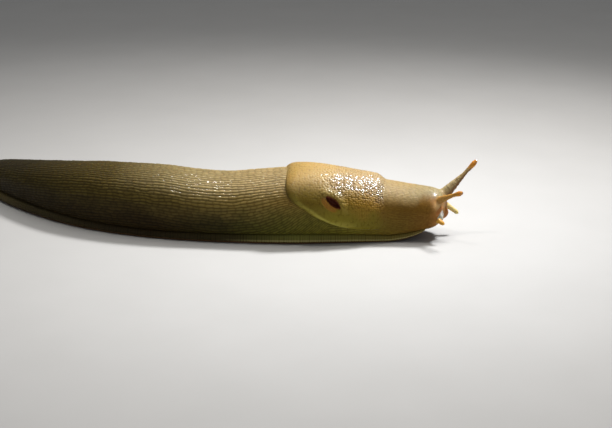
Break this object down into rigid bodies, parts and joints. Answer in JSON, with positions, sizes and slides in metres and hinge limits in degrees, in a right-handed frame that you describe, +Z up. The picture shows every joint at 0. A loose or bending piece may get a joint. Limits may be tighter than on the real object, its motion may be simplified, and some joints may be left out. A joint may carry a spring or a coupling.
{
  "type": "banana slug",
  "caption": "Life-size still model of a banana slug crawling with its feelers out, its mantle, breathing hole and fringed foot shown.",
  "frame": {"origin": "on the ground under the middle of the animal's overall box", "axes": "+X towards the head, +Z up, -Y towards the animal's right side"},
  "size_m": [0.195, 0.0788, 0.0276],
  "materials": {
    "body_skin": "moist olive-tan skin in fine tubercle rows, darker low on the flank",
    "mantle_skin": "moist golden-tan skin with a fine granular surface",
    "head_skin": "moist orange-brown skin, finely lined",
    "foot_skin": "moist pale fringe with fine upright lines",
    "eye": "glossy dark eye spot"
  },
  "bodies": {
    "root": {"tail": "body_skin", "trunk_rear": "body_skin", "trunk_mid": "body_skin", "trunk_front": "body_skin", "neck": "body_skin", "head": "head_skin", "mantle": "mantle_skin", "foot_rear": "foot_skin", "foot_mid": "foot_skin", "foot_front": "foot_skin", "upper_tentacle_left": "head_skin", "upper_tentacle_right": "head_skin", "lower_tentacle_left": "head_skin", "lower_tentacle_right": "head_skin", "lip_left": "head_skin", "lip_right": "head_skin", "eye_left": "eye", "eye_right": "eye"}
  },
  "joints": []
}
